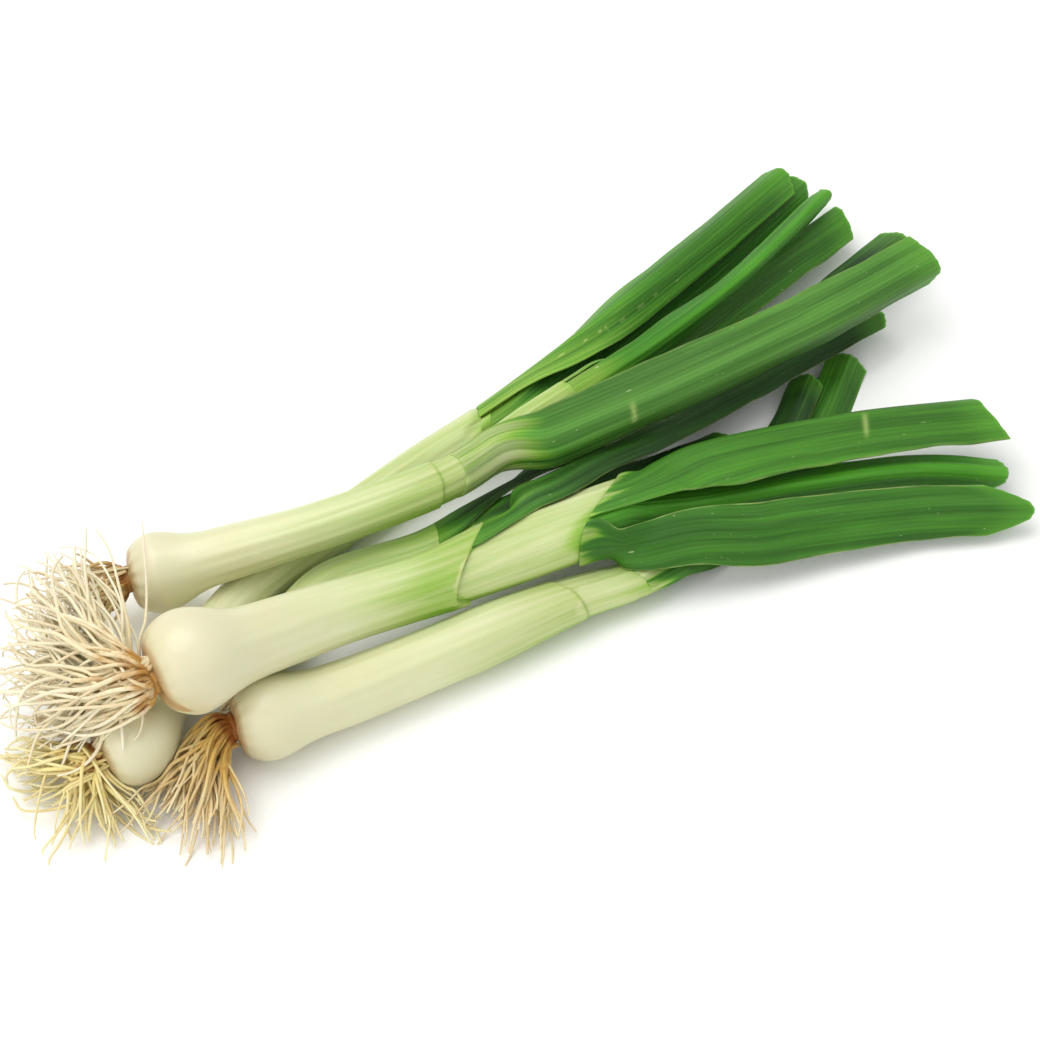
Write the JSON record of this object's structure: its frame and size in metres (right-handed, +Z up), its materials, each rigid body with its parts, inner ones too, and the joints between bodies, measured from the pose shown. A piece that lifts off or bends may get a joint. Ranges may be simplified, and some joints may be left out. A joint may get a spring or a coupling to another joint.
{
  "type": "spring onion bunch",
  "caption": "Loose bunch of whole spring onions lying crossed, with white bulbs, root tufts, pale shanks and trimmed flat green leaves.",
  "frame": {"origin": "middle of the bunch's bounding box at the surface it lies on", "axes": "+X from the roots to the leaf tips, +Y to the back, +Z up"},
  "size_m": [0.3528, 0.1728, 0.0684],
  "materials": {
    "shank": "smooth moist plant skin, cream white at the bulb and pale green above",
    "roots": "matte straw coloured root",
    "leaf": "satin waxy leaf with fine lengthwise ribs"
  },
  "bodies": {
    "root": {"onion_a_shank": "shank", "onion_a_roots": "roots", "onion_a_leaf_1": "leaf", "onion_a_leaf_2": "leaf", "onion_a_leaf_3": "leaf", "onion_a_leaf_4": "leaf", "onion_b_shank": "shank", "onion_b_roots": "roots", "onion_b_leaf_1": "leaf", "onion_b_leaf_2": "leaf", "onion_b_leaf_3": "leaf", "onion_c_shank": "shank", "onion_c_roots": "roots", "onion_c_leaf_1": "leaf", "onion_c_leaf_2": "leaf", "onion_c_leaf_3": "leaf", "onion_d_shank": "shank", "onion_d_roots": "roots", "onion_d_leaf_1": "leaf", "onion_d_leaf_2": "leaf", "onion_e_shank": "shank", "onion_e_roots": "roots", "onion_e_leaf_1": "leaf", "onion_e_leaf_2": "leaf"}
  },
  "joints": []
}
